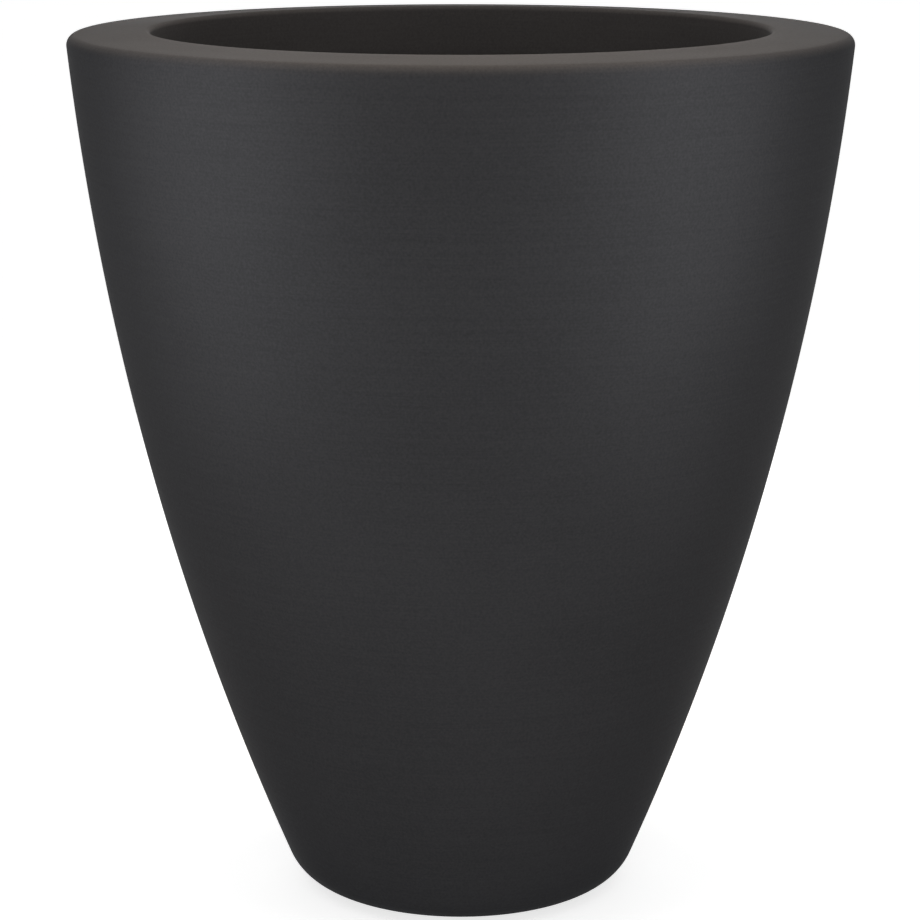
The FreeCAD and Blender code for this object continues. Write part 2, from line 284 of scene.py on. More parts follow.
def charcoalGelcoat():
    material, tree, shader = newFinish("charcoalGelcoat")
    plain = pieceCoordinates(tree)
    lines = pieceCoordinates(tree, (gelcoat["sandingAlong"], gelcoat["sandingAlong"], gelcoat["sandingUp"]))
    mottle = cloud(tree, plain, gelcoat["mottle"], -800, 300, detail=4.0)
    speckle = cloud(tree, plain, gelcoat["speckle"], -800, 60, detail=2.0)
    sanding = cloud(tree, lines, 1.0, -800, -180, detail=2.0)
    pits = cloud(tree, plain, gelcoat["pits"], -800, -420, detail=1.0)
    blend = byShares(tree, mottle, gelcoat["mottleShare"], speckle, gelcoat["speckleShare"], -420, 240)
    scored = combined(tree, sanding, gelcoat["sandingShare"], "MULTIPLY", -600, -40)
    blend = combined(tree, blend, scored, "ADD", -260, 200)
    shade = spread(tree, blend, 0.0, 1.0, -100, 240, *gelcoat["contrast"])
    colour = tinted(tree, shade, gelcoat["dark"], gelcoat["light"], 80, 240)
    tree.links.new(colour, shader.inputs["Base Color"])
    tree.links.new(spread(tree, mottle, *gelcoat["roughness"], -100, 0), shader.inputs["Roughness"])
    shader.inputs["Specular IOR Level"].default_value = gelcoat["specular"]
    skin = relief(tree, sanding, gelcoat["sandingDepth"], 0.5, -100, -240)
    skin = relief(tree, pits, gelcoat["pitDepth"], 0.4, 80, -240, skin)
    tree.links.new(skin, shader.inputs["Normal"])
    return material


laminate = {
    "resin": (0.0118, 0.0113, 0.0100),
    "fibre": (0.0190, 0.0182, 0.0164),
    "roughness": (0.56, 0.78),
    "specular": 0.10,
    "strandStretch": (9, 150, 150),  # chopped strands: long one way, thin the other two
    "strandSize": 2.2,
    "strandTurns": ((0.3, 0.2, 0.1), (1.1, 0.7, 0.4), (0.6, 1.3, 1.0), (1.9, 0.4, 1.6)),
    "strandEdge": (0.52, 0.66),
    "strandDepth": 0.0003,
    "lumps": 22.0,
    "lumpDepth": 0.0015,
}


def rawLaminate():
    material, tree, shader = newFinish("rawLaminate")
    plain = pieceCoordinates(tree)
    strands = None
    for k, turn in enumerate(laminate["strandTurns"]):
        row = 400 - 160 * k
        mat = pieceCoordinates(tree, laminate["strandStretch"], turn)
        layer = cloud(tree, mat, laminate["strandSize"], -900, row, detail=1.0)
        layer = spread(tree, layer, 0.0, 1.0, -700, row, *laminate["strandEdge"])
        strands = layer if strands is None else combined(tree, strands, layer, "MAXIMUM", -500, row)
    lumps = cloud(tree, plain, laminate["lumps"], -900, -320)
    shade = combined(tree, strands, lumps, "MULTIPLY", -300, 200)
    contrast = spread(tree, shade, 0.0, 1.0, -120, 200, 0.1, 0.6)
    colour = tinted(tree, contrast, laminate["resin"], laminate["fibre"], 80, 200)
    tree.links.new(colour, shader.inputs["Base Color"])
    tree.links.new(spread(tree, shade, *laminate["roughness"], -120, 0, 0.0, 0.6), shader.inputs["Roughness"])
    shader.inputs["Specular IOR Level"].default_value = laminate["specular"]
    skin = relief(tree, strands, laminate["strandDepth"], 0.5, -120, -240)
    skin = relief(tree, lumps, laminate["lumpDepth"], 0.5, 80, -240, skin)
    tree.links.new(skin, shader.inputs["Normal"])
    return material


ply = {
    "pale": (0.52, 0.37, 0.22),
    "brown": (0.27, 0.16, 0.085),
    "roughness": (0.60, 0.85),
    "pair": 0.0030,  # a lengthways and a crossed ply together
    "crossedShare": 0.35,
    "grainShare": 0.65,
    "grainStretch": (12, 12, 1),
    "grain": 9.0,
    "fibreStretch": (40, 700, 700),
    "fibreDepth": 0.0002,
}


def plyLayers():
    material, tree, shader = newFinish("plyLayers")
    flat = pieceCoordinates(tree, ply["grainStretch"])
    levels = addNode(tree, "ShaderNodeSeparateXYZ", -900, 300)
    tree.links.new(pieceCoordinates(tree), levels.inputs["Vector"])
    pairs = combined(tree, levels.outputs["Z"], ply["pair"], "DIVIDE", -720, 300)
    withinPair = combined(tree, pairs, 1.0, "MODULO", -540, 300)
    crossed = combined(tree, withinPair, 0.5, "GREATER_THAN", -360, 300)
    grain = cloud(tree, flat, ply["grain"], -720, 60, detail=5.0, roughness=0.6, distortion=1.4)
    fibres = cloud(tree, pieceCoordinates(tree, ply["fibreStretch"]), 1.0, -720, -160)
    shade = byShares(tree, crossed, ply["crossedShare"], grain, ply["grainShare"], -60, 240)
    tree.links.new(tinted(tree, shade, ply["pale"], ply["brown"], 100, 240), shader.inputs["Base Color"])
    tree.links.new(spread(tree, fibres, *ply["roughness"], 100, 0), shader.inputs["Roughness"])
    tree.links.new(relief(tree, fibres, ply["fibreDepth"], 0.5, 100, -240), shader.inputs["Normal"])
    return material


plastic = {
    "specular": 0.35,
    "wear": 11.0,
    "grainShare": 0.35,
    "wearShare": 0.65,
    "contrast": (0.35, 0.65),
    "grainDepth": 0.00008,
    "scratchStretch": (6, 420, 60),
    "scratchTurn": (0, 0, 0.5),
    "scratchEdge": (0.66, 0.72),
    "scratchDepth": 0.00006,
}
shelfPlastic = {
    "dark": (0.0165, 0.0165, 0.0175),
    "light": (0.0250, 0.0250, 0.0258),
    "grain": 520.0,
    "roughness": (0.46, 0.66),
    "scratches": 0.5,
}
drainPlastic = {
    "dark": (0.088, 0.093, 0.098),
    "light": (0.112, 0.117, 0.122),
    "grain": 900.0,
    "roughness": (0.38, 0.56),
    "scratches": 0.0,
}


def mouldedPlastic(name, settings):
    material, tree, shader = newFinish(name)
    plain = pieceCoordinates(tree)
    grain = cloud(tree, plain, settings["grain"], -800, 200, detail=2.0)
    wear = cloud(tree, plain, plastic["wear"], -800, -40, detail=5.0, roughness=0.6, distortion=0.4)
    shade = byShares(tree, grain, plastic["grainShare"], wear, plastic["wearShare"], -420, 200)
    contrast = spread(tree, shade, 0.0, 1.0, -240, 200, *plastic["contrast"])
    colour = tinted(tree, contrast, settings["dark"], settings["light"], 60, 200)
    tree.links.new(colour, shader.inputs["Base Color"])
    tree.links.new(spread(tree, wear, *settings["roughness"], -240, 0), shader.inputs["Roughness"])
    shader.inputs["Specular IOR Level"].default_value = plastic["specular"]
    skin = relief(tree, grain, plastic["grainDepth"], 0.6, -240, -240)
    if settings["scratches"] > 0:
        along = pieceCoordinates(tree, plastic["scratchStretch"], plastic["scratchTurn"])
        lines = cloud(tree, along, 1.0, -800, -420, detail=1.0)
        lines = spread(tree, lines, 0.0, 1.0, -600, -420, *plastic["scratchEdge"])
        skin = relief(tree, lines, plastic["scratchDepth"], settings["scratches"], -60, -340, skin)
    tree.links.new(skin, shader.inputs["Normal"])
    return material


rubberSkin = {
    "dark": (0.0135, 0.0135, 0.0135),
    "bloomed": (0.0240, 0.0235, 0.0225),  # the grey film that rubber gets with age
    "roughness": (0.62, 0.84),
    "specular": 0.3,
    "bloom": 60.0,
    "pores": 1500.0,
    "poreDepth": 0.00006,
}


def blackRubber():
    material, tree, shader = newFinish("blackRubber")
    plain = pieceCoordinates(tree)
    bloom = cloud(tree, plain, rubberSkin["bloom"], -800, 200, detail=5.0, roughness=0.6)
    pores = cloud(tree, plain, rubberSkin["pores"], -800, -60, detail=2.0)
    shade = spread(tree, bloom, 0.0, 1.0, -400, 200)
    colour = tinted(tree, shade, rubberSkin["dark"], rubberSkin["bloomed"], -100, 200)
    tree.links.new(colour, shader.inputs["Base Color"])
    tree.links.new(spread(tree, bloom, *rubberSkin["roughness"], -400, 0), shader.inputs["Roughness"])
    shader.inputs["Specular IOR Level"].default_value = rubberSkin["specular"]
    tree.links.new(relief(tree, pores, rubberSkin["poreDepth"], 0.6, -100, -240), shader.inputs["Normal"])
    return material


screwSteel = {
    "bright": (0.66, 0.65, 0.63),
    "stained": (0.50, 0.49, 0.475),
    "roughness": (0.24, 0.42),
    "turningStretch": (300, 300, 9000),
    "turningDepth": 0.00003,
    "stain": 260.0,
}


def stainlessScrew():
    material, tree, shader = newFinish("stainlessScrew")
    plain = pieceCoordinates(tree)
    turning = cloud(tree, pieceCoordinates(tree, screwSteel["turningStretch"]), 1.0, -800, 200, detail=2.0)
    stain = cloud(tree, plain, screwSteel["stain"], -800, -40, detail=4.0)
    shade = spread(tree, stain, 0.0, 1.0, -400, 200)
    colour = tinted(tree, shade, screwSteel["bright"], screwSteel["stained"], -100, 200)
    tree.links.new(colour, shader.inputs["Base Color"])
    tree.links.new(spread(tree, turning, *screwSteel["roughness"], -400, 0), shader.inputs["Roughness"])
    shader.inputs["Metallic"].default_value = 1.0
    skin = relief(tree, turning, screwSteel["turningDepth"], 0.6, -100, -240)
    tree.links.new(skin, shader.inputs["Normal"])
    return material


charcoal = charcoalGelcoat()
rawInside = rawLaminate()
plywood = plyLayers()
shelfSheet = mouldedPlastic("shelfSheet", shelfPlastic)
drainMoulding = mouldedPlastic("drainMoulding", drainPlastic)
rubber = blackRubber()
stainless = stainlessScrew()
print("finishes made")


# The moulded wall and base in one

laidSurface = {
    "lump": 0.00055,
    "size": 19.0,  # lumps per metre
    "fineLump": 0.00022,
    "fineSize": 70.0,
    "low": 0.075,  # it shows from above the inner floor's lap to below the rim's skirt
    "high": 0.795,
    "fade": 0.03,
    "shelfLow": 0.31,  # the wall is evener behind the cleats and round the shelf
    "shelfHigh": 0.40,
    "nearShelf": 0.45,
    "skin": 0.0035,  # points nearer to the outer face than this don't move
}


def laidByHand(angle, r, z):
    # the inside of the laminate is uneven where nothing is bonded to it; the outside comes from the mould
    low, high, fadeOver = laidSurface["low"], laidSurface["high"], laidSurface["fade"]
    if not low < z < high or r > wallRadius(z, laidSurface["skin"]):
        return r, z
    fade = min(1.0, (z - low) / fadeOver, (high - z) / fadeOver)
    nearShelf = laidSurface["nearShelf"] if laidSurface["shelfLow"] < z < laidSurface["shelfHigh"] else 1.0
    at = Vector((r * math.cos(angle), r * math.sin(angle), z))
    height = laidSurface["lump"] * (0.5 + 0.5 * noise.noise(at * laidSurface["size"]))
    height += laidSurface["fineLump"] * (0.5 + 0.5 * noise.noise(at * laidSurface["fineSize"]))
    return r - fade * nearShelf * height, z


def shellOutline():
    slope = math.tan(body["recessSlant"])
    recessTopR = body["recessRadius"] - (body["recessTop"] - body["base"]) * slope
    shift = body["thickness"] * math.tan((math.pi / 2 - body["recessSlant"]) / 2)
    centre = body["base"] + body["edgeRadius"]
    edgeTop = body["base"] + body["edgeRadius"] * (1 + math.sin(body["edgeEnd"]))
    innerTop = centre + (body["edgeRadius"] - body["thickness"]) * math.sin(body["edgeEnd"])
    floorLevel = body["base"] + body["thickness"]
    coreLevel = body["recessTop"] + body["thickness"]
    outline = baseEdge(0.0, 0) + wallLine(edgeTop, body["seam"], 0.0, 0)[1:]
    outline[-1] = (*outline[-1][:2], 1)  # the seam's own face is laminate
    outline += wallLine(body["seam"], innerTop, body["thickness"], 1)[:-1]
    outline += baseEdge(body["thickness"], 1, upwards=False)
    outline += [
        (body["recessRadius"] + shift, floorLevel, 1),
        (recessTopR + shift, coreLevel, 1),
        (body["drainHole"], coreLevel, 1),
        (body["drainHole"], body["recessTop"], 0),
    ]
    low = (body["recessRadius"], body["base"])
    top = (recessTopR, body["recessTop"])
    outline += rounded((body["drainHole"], body["recessTop"]), top, low, body["recessRounding"], 0)
    outline += rounded(top, low, (body["edgeR"], body["base"]), body["recessRounding"], 0)
    return closeUp(outline, body["ringStep"] * body["flatShare"])


mouldedBody = turnedPiece("mouldedBody", shellOutline(), [charcoal, rawInside], body["segments"], laidByHand,
                          sharpAngle=40)
place(mouldedBody, "planter", "charcoal_gelcoat", "outer_shell")
print("moulded body made")


# The rim's moulding: outer face, top, inner lip, and the skirt that is bonded inside the wall

rim = {
    "topRadius": 0.381,
    "mouthRadius": 0.300,
    "corner": 0.8605,
    "height": 0.864,
    "outerRounding": 0.010,
    "innerRounding": 0.005,
    "lipRounding": 0.0012,
    "channelRounding": 0.003,
    "underside": 0.8555,
    "lipLow": 0.8105,
    "lipThickness": 0.004,
    "skirtStart": 0.005,  # below the underside
    "skirtLow": 0.8085,
    "skirtOuter": 0.0053,
    "skirtInner": 0.0093,
}


def rimOutline():
    seam = (wallRadius(body["seam"]), body["seam"])
    corner = (rim["topRadius"], rim["corner"])
    brow = (rim["mouthRadius"], rim["height"])
    lipIn = (rim["mouthRadius"], rim["lipLow"])
    lipOut = (rim["mouthRadius"] + rim["lipThickness"], rim["lipLow"])
    under = (lipOut[0], rim["underside"])
    skirtTop = (wallRadius(rim["underside"], rim["skirtInner"]), rim["underside"])
    skirtFoot = (wallRadius(rim["skirtLow"], rim["skirtInner"]), rim["skirtLow"])
    outline = [(*seam, 0)]
    outline += rounded(seam, corner, brow, rim["outerRounding"], 0, 10)
    outline += rounded(corner, brow, lipIn, rim["innerRounding"], 0, 8)
    outline += rounded(brow, lipIn, lipOut, rim["lipRounding"], 0, 3)
    outline += rounded(lipIn, lipOut, under, rim["lipRounding"], 1, 3)
    outline += rounded(lipOut, under, skirtTop, rim["channelRounding"], 1, 4)
    outline += rounded(under, skirtTop, skirtFoot, rim["channelRounding"], 1, 4)
    outline += wallLine(rim["underside"] - rim["skirtStart"], rim["skirtLow"], rim["skirtInner"], 1)
    outline += wallLine(rim["skirtLow"], body["seam"], rim["skirtOuter"], 1)
    return closeUp(outline, body["ringStep"])


rimMoulding = turnedPiece("rimMoulding", rimOutline(), [charcoal, rawInside], body["segments"], sharpAngle=40)
place(rimMoulding, "planter", "charcoal_gelcoat", "rim_cap")
print("rim moulding made")


# The inner floor, laid in by hand, with its edge turned up the wall

floorLay = {
    "low": 0.030,
    "top": 0.033,
    "lap": 0.061,
    "lapSteps": 10,
    "bond": 0.0053,
    "thickness": 0.003,
    "tornEdge": (0.0016, 0.0002),  # how far out and down the lap's upper edge thins
    "innerStart": 0.0035,  # the lap's inner face, below its upper edge, and its height
    "innerHeight": 0.0165,
    "innerSteps": 5,
    "footRounding": 0.007,
    "footTowards": 0.1,  # any radius on the floor, for the direction of that rounding
    "step": 0.006,
    "raggedEdge": 0.004,
    "wander": (3.5, 4.0),  # waves round the edge, and the place in the noise
    "fineWander": (16, 9.0),
    "fineShare": 0.35,
    "lean": 0.30,
    "unevenFrom": 0.045,
    "unevenTo": 0.155,
    "unevenFade": (0.02, 0.01),
    "lump": 0.0004,
    "lumpSize": 26,
}


def floorOutline():
    bond, inner = floorLay["bond"], floorLay["bond"] + floorLay["thickness"]
    low, top, lap = floorLay["low"], floorLay["top"], floorLay["lap"]
    centre = body["base"] + body["edgeRadius"]

    def faceRadius(level, depth):
        radius = body["edgeRadius"] - depth
        edgeLevel = centre + radius * math.sin(body["edgeEnd"])
        if level >= edgeLevel:
            return wallRadius(level, depth)
        return body["edgeR"] + math.sqrt(radius ** 2 - (level - centre) ** 2)

    steps, innerSteps = floorLay["lapSteps"], floorLay["innerSteps"]
    levels = [low + (lap - low) * k / steps for k in range(steps + 1)]
    outline = [(faceRadius(level, bond), level, 0) for level in levels]
    out, down = floorLay["tornEdge"]
    outline.append((faceRadius(lap, inner) + out, lap - down, 0))
    start = lap - floorLay["innerStart"]
    downwards = [start - floorLay["innerHeight"] * k / innerSteps for k in range(innerSteps + 1)]
    outline += [(faceRadius(level, inner), level, 0) for level in downwards]
    foot = (faceRadius(top, inner), top)
    outline += rounded(outline[-1][:2], foot, (floorLay["footTowards"], top), floorLay["footRounding"], 0, 6)
    outline += [(body["drainHole"], top, 0), (body["drainHole"], low, 0)]
    return closeUp(outline, floorLay["step"])


def edgeNoise(angle, waves, place):
    return noise.noise(Vector((waves * math.cos(angle), waves * math.sin(angle), place)))


def raggedLap(angle, r, z):
    # the lap's top edge wanders where the mat was torn, and the floor is slightly uneven
    share = max(0.0, (z - floorLay["top"]) / (floorLay["lap"] - floorLay["top"]))
    wander = 0.5 + 0.5 * edgeNoise(angle, *floorLay["wander"])
    wander += floorLay["fineShare"] * edgeNoise(angle, *floorLay["fineWander"])
    lowered = z - share ** 2 * floorLay["raggedEdge"] * max(0.0, min(1.0, wander))
    start, end = floorLay["unevenFrom"], floorLay["unevenTo"]
    if start < r < end and abs(z - floorLay["top"]) < 1e-6:
        at = Vector((r * math.cos(angle), r * math.sin(angle), 0)) * floorLay["lumpSize"]
        fade = min(1.0, (r - start) / floorLay["unevenFade"][0], (end - r) / floorLay["unevenFade"][1])
        lowered -= fade * floorLay["lump"] * (0.5 + 0.5 * noise.noise(at))
    drop = z - lowered
    return r - (drop * floorLay["lean"] if share > 0 else 0.0), lowered


laidFloor = turnedPiece("laidFloor", floorOutline(), [rawInside], 216, raggedLap, sharpAngle=50)
place(laidFloor, "planter", "raw_laminate", "floor_panel")
print("inner floor made")


# The cleats under the shelf: blocks with rounded edges, bedded on the wall

cleat = {
    "top": 0.37237,
    "height": 0.048,
    "depth": 0.032,
    "nose": 0.008,
    "width": 0.056,
    "bond": 0.0053,
    "count": 4,
    "edgeRadii": (0.0, 0.0022, 0.0035, 0.0012),
    "sections": (  # place along half the width, and how far the section draws in there
        (-1, 0.0022), (-0.985, 0.0007), (-0.95, 0.0), (-0.5, 0.0), (0.0, 0.0),
        (0.5, 0.0), (0.95, 0.0), (0.985, 0.0007), (1, 0.0022),
    ),
}


def cleatMesh():
    top, low = cleat["top"], cleat["top"] - cleat["height"]
    topR = wallRadius(top, cleat["bond"])
    noseR = topR - cleat["depth"]
    lowR = wallRadius(low, cleat["bond"])
    corners = [Vector(c) for c in ((topR, top), (noseR, top), (noseR, top - cleat["nose"]), (lowR, low))]
    middle = Vector((sum(c.x for c in corners) / 4, sum(c.y for c in corners) / 4))
    half = cleat["width"] / topR / 2
    rings = []
    for share, inset in cleat["sections"]:
        shrunk = [tuple(c + (middle - c).normalized() * inset) for c in corners]
        rings.append((share * half, softOutline(shrunk, cleat["edgeRadii"], steps=5)))
    size = len(rings[0][1])
    vertices, faces = [], []
    for number in range(cleat["count"]):
        turn = math.pi / 4 + number * 2 * math.pi / cleat["count"]
        first = len(vertices)
        for angle, ring in rings:
            for r, z, _ in ring:
                vertices.append((r * math.cos(turn + angle), r * math.sin(turn + angle), z))
        for k in range(len(rings) - 1):
            for j in range(size):
                a, b = first + k * size + j, first + k * size + (j + 1) % size
                faces.append((a, a + size, b + size, b))
        faces.append(tuple(first + j for j in range(size)))
        faces.append(tuple(first + (len(rings) - 1) * size + j for j in reversed(range(size))))
    mesh = bpy.data.meshes.new("bondedCleats")
    mesh.from_pydata(vertices, [], faces)
    return mesh


bondedCleats = shownPiece("bondedCleats", cleatMesh(), [rawInside], sharpAngle=40)
place(bondedCleats, "planter", "raw_laminate", "shelf_cleats")
print("cleats made")


# The loose shelf: a plastic sheet with drilled holes and two finger slots, every edge eased

shelf = {
    "radius": 0.285,
    "low": 0.37237,
    "thickness": 0.012,
    "easing": 0.0009,
    "edgePoints": 240,
    "holeRadius": 0.005,
    "holePitch": 0.050,
    "holeRings": 5,
    "firstRing": 6,  # holes, and as many more in each next ring
    "holePoints": 28,
    "slotDistance": 0.225,
    "slotLength": 0.096,
    "slotWidth": 0.030,
    "slotPoints": 20,  # at each end
}


def circlePoints(centreX, centreY, radius, count):
    turns = [2 * math.pi * k / count for k in range(count)]
    return [(centreX + radius * math.cos(t), centreY + radius * math.sin(t)) for t in turns]


def slotPoints(distance, length, width, count):
    half = (length - width) / 2
    radius = width / 2
    points = []
    for middle, start in ((half, 0.0), (-half, math.pi)):
        for k in range(count + 1):
            t = start + math.pi * k / count
            points.append((distance + radius * math.cos(t), middle + radius * math.sin(t)))
    return points


def appliedMesh(holder):
    # the object's mesh with its modifiers applied; the object itself goes
    bpy.context.view_layer.update()
    mesh = bpy.data.meshes.new_from_object(holder.evaluated_get(bpy.context.evaluated_depsgraph_get()))
    bpy.data.objects.remove(holder)
    return mesh


def cutSheet(name, outlines, thickness, easing):
    # a flat sheet with holes: the first outline is its edge; its middle plane is at z = 0
    curve = bpy.data.curves.new(name, "CURVE")
    curve.dimensions = "2D"
    curve.fill_mode = "BOTH"
    curve.extrude = thickness / 2 - easing
    curve.bevel_depth = easing
    curve.bevel_resolution = 2
    for points in outlines:
        spline = curve.splines.new("POLY")
        spline.points.add(len(points) - 1)
        for point, (x, y) in zip(spline.points, points):
            point.co = (x, y, 0, 1)
        spline.use_cyclic_u = True
    holder = bpy.data.objects.new(name, curve)
    bpy.context.scene.collection.objects.link(holder)
    return appliedMesh(holder)


def shelfMesh():
    ease, hole = shelf["easing"], shelf["holeRadius"]
    outlines = [circlePoints(0, 0, shelf["radius"] - ease, shelf["edgePoints"])]
    for side in (-1, 1):
        grown = (shelf["slotLength"] + 2 * ease, shelf["slotWidth"] + 2 * ease)
        outlines.append(slotPoints(side * shelf["slotDistance"], *grown, shelf["slotPoints"]))
    for ring in range(1, shelf["holeRings"] + 1):
        count = shelf["firstRing"] * ring
        for k in range(count):
            turn = math.pi / 2 + math.pi / count + 2 * math.pi * k / count
            x, y = ring * shelf["holePitch"] * math.cos(turn), ring * shelf["holePitch"] * math.sin(turn)
            beside = abs(abs(x) - shelf["slotDistance"]) < shelf["slotWidth"] / 2 + hole
            inSlot = beside and abs(y) < shelf["slotLength"] / 2 + hole
            if not inSlot:
                outlines.append(circlePoints(x, y, hole + ease, shelf["holePoints"]))
    mesh = cutSheet("looseShelf", outlines, shelf["thickness"], ease)
    for vertex in mesh.vertices:
        vertex.co.z += shelf["low"] + shelf["thickness"] / 2
    return mesh


looseShelf = shownPiece("looseShelf", shelfMesh(), [shelfSheet], sharpAngle=40)
place(looseShelf, "shelf", "shelf_plastic", "plant_shelf")
print("shelf made")


# The drain: a flanged fitting with a thread, its gasket and nut

drain = {
    "bore": 0.016,
    "thread": 0.021,
    "threadPitch": 0.003,
    "threadDepth": 0.0009,
    "threadFade": (0.001, 0.002),  # at its lower and upper end
    "threadNear": 0.0002,  # points this near to its radius are on it
    "threadStep": 0.0004,
    "flange": 0.036,
    "flangeLow": 0.035,
    "flangeTop": 0.040,
    "spigot": 0.0185,
    "spigotLow": 0.007,
    "spigotTop": 0.015,
    "edgeRadii": (0.0008, 0.0004, 0.0008, 0.0, 0.0004, 0.0, 0.0005, 0.0017),
    "step": 0.003,
    "segments": 144,
}


def onThread(r):
    return abs(r - drain["thread"]) < drain["threadNear"]


def drainOutline():
    corners = [
        (drain["bore"], drain["flangeTop"]), (drain["bore"], drain["spigotLow"]),
        (drain["spigot"], drain["spigotLow"]), (drain["spigot"], drain["spigotTop"]),
        (drain["thread"], drain["spigotTop"]), (drain["thread"], drain["flangeLow"]),
        (drain["flange"], drain["flangeLow"]), (drain["flange"], drain["flangeTop"]),
    ]
    points = softOutline(corners, drain["edgeRadii"])
    outline = []
    for k, (r, z, _) in enumerate(points):
        nextR, nextZ, _ = points[(k + 1) % len(points)]
        step = drain["threadStep"] if onThread(r) and onThread(nextR) else drain["step"]
        count = max(1, round(math.hypot(nextR - r, nextZ - z) / step))
        outline += [(r + (nextR - r) * j / count, z + (nextZ - z) * j / count, 0) for j in range(count)]
    return outline


def drainThread(angle, r, z):
    low, high = drain["spigotTop"], drain["flangeLow"]
    if not (onThread(r) and low < z < high):
        return r, z
    phase = ((z - low) / drain["threadPitch"] - angle / (2 * math.pi)) % 1.0
    groove = 0.5 + 0.5 * math.cos(2 * math.pi * phase)
    fade = min(1.0, (z - low) / drain["threadFade"][0], (high - z) / drain["threadFade"][1])
    return r - fade * drain["threadDepth"] * groove ** 1.5, z


drainFitting = turnedPiece("drainFitting", drainOutline(), [drainMoulding], drain["segments"], drainThread)
place(drainFitting, "planter", "drain_plastic", "drain_fitting")


gasket = {"radius": 0.033, "low": 0.033, "edgeRadii": (0.0003, 0.0009, 0.0009, 0.0003)}


def gasketOutline():
    hole, top = body["drainHole"], drain["flangeLow"]
    corners = [(hole, gasket["low"]), (gasket["radius"], gasket["low"]), (gasket["radius"], top), (hole, top)]
    return softOutline(corners, gasket["edgeRadii"])


drainGasket = turnedPiece("drainGasket", gasketOutline(), [rubber])
place(drainGasket, "planter", "black_rubber", "drain_gasket")


nut = {
    "low": 0.016,
    "top": 0.025,
    "flats": 0.056,
    "clearance": 0.00005,
    "chamfer": 0.0009,
    "landing": 0.0022,  # flat ring inside the lower cone
    "coneSlope": 2,
    "upperCone": 0.0016,
    "steps": 18,
    "segments": 180,
}


def hexRadius(angle, flats):
    turn = (angle + math.pi / 6) % (math.pi / 3) - math.pi / 6
    return flats / 2 / math.cos(turn)


def nutShape(angle, r, z):
    # the outer face is a hexagon, with a cone taking off its lower corners and a light one its upper ones
    flat = nut["flats"] / 2
    if r < flat - 1e-6:
        return r, z
    hexagon = hexRadius(angle + math.pi / 6, nut["flats"]) * r / flat
    cone = flat + nut["coneSlope"] * (z - nut["low"])
    upperCone = flat + nut["upperCone"] + nut["coneSlope"] * (nut["top"] - z)
    return min(hexagon, cone, upperCone), z


def nutOutline():
    inner = drain["thread"] + nut["clearance"]
    flat = nut["flats"] / 2
    low, top, chamfer, steps = nut["low"], nut["top"], nut["chamfer"], nut["steps"]
    outline = [(inner + chamfer, low, 0), (flat - nut["landing"], low, 0), (flat, low, 0)]
    outline += [(flat, low + (top - low) * k / steps, 0) for k in range(1, steps)]
    outline += [(flat, top, 0), (inner + chamfer, top, 0)]
    outline += [(inner, top - chamfer, 0), (inner, low + chamfer, 0)]
    return outline


drainNut = turnedPiece("drainNut", nutOutline(), [drainMoulding], nut["segments"], nutShape, sharpAngle=28)
place(drainNut, "planter", "drain_plastic", "drain_locknut")
print("drain made")


# The stopper: a rubber moulding, head, stem and pull loop grown into one

stopper = {
    "headRadius": 0.024,
    "headLow": 0.040,
    "headTop": 0.044,
    "stemLow": 0.018,
    "stemRadius": 0.0157,
    "taper": 0.0015,
    "edgeRadii": (0, 0.0012, 0, 0.0006, 0.0013, 0),
    "step": 0.004,
    "loopLevel": 0.056,
    "loopRadius": 0.016,
    "loopHole": 0.0095,
    "loopThickness": 0.007,
    "loopRounding": 0.0012,
    "loopRoot": 0.0015,  # how deep the loop starts inside the head
    "loopPoints": 32,
    "holePoints": 40,
    "cell": 0.0006,
    "softening": 4,  # rounds that soften the join
}


def plugPiece():
    stemEnd = stopper["stemRadius"] - stopper["taper"]
    corners = [
        (0.0, stopper["stemLow"]), (stemEnd, stopper["stemLow"]), (stopper["stemRadius"], stopper["headLow"]),
        (stopper["headRadius"], stopper["headLow"]), (stopper["headRadius"], stopper["headTop"]),
        (0.0, stopper["headTop"]),
    ]
    outline = closeUp(softOutline(corners, stopper["edgeRadii"]), stopper["step"])
    return turnedPiece("stopperPlug", outline, [rubber])


def loopMesh():
    rounding, level, count = stopper["loopRounding"], stopper["loopLevel"], stopper["loopPoints"]
    outer = stopper["loopRadius"] - rounding
    footDrop = level - (stopper["headTop"] - stopper["loopRoot"])
    turns = [math.pi * k / count for k in range(count + 1)]
    bow = [(outer * math.cos(t), outer * math.sin(t)) for t in turns]
    outlines = [bow + [(-outer, -footDrop), (outer, -footDrop)]]
    outlines.append(circlePoints(0, 0, stopper["loopHole"] + rounding, stopper["holePoints"]))
    loop = cutSheet("stopperLoop", outlines, stopper["loopThickness"], rounding)
    for vertex in loop.vertices:
        x, y, z = vertex.co
        vertex.co = (x, -z, y + level)
    return loop


def stopperMesh():
    plug, loop = plugPiece(), loopMesh()
    vertices = [tuple(v.co) for v in plug.data.vertices]
    faces = [tuple(p.vertices) for p in plug.data.polygons]
    first = len(vertices)
    vertices += [tuple(v.co) for v in loop.vertices]
    faces += [tuple(first + i for i in p.vertices) for p in loop.polygons]
    bpy.data.objects.remove(plug)
    grown = bpy.data.meshes.new("stopperGrown")
    grown.from_pydata(vertices, [], faces)
    holder = bpy.data.objects.new("stopperGrown", grown)
    bpy.context.scene.collection.objects.link(holder)
    remesh = holder.modifiers.new("grow", "REMESH")
    remesh.mode = "VOXEL"
    remesh.voxel_size = stopper["cell"]
    smooth = holder.modifiers.new("soften", "SMOOTH")
    smooth.factor = 0.5
    smooth.iterations = stopper["softening"]
    return appliedMesh(holder)


pullStopper = shownPiece("pullStopper", stopperMesh(), [rubber], sharpAngle=80)
place(pullStopper, "stopper", "black_rubber", "drain_stopper")
print("stopper made")


# The feet: ribbed rubber pads, each held by a countersunk screw

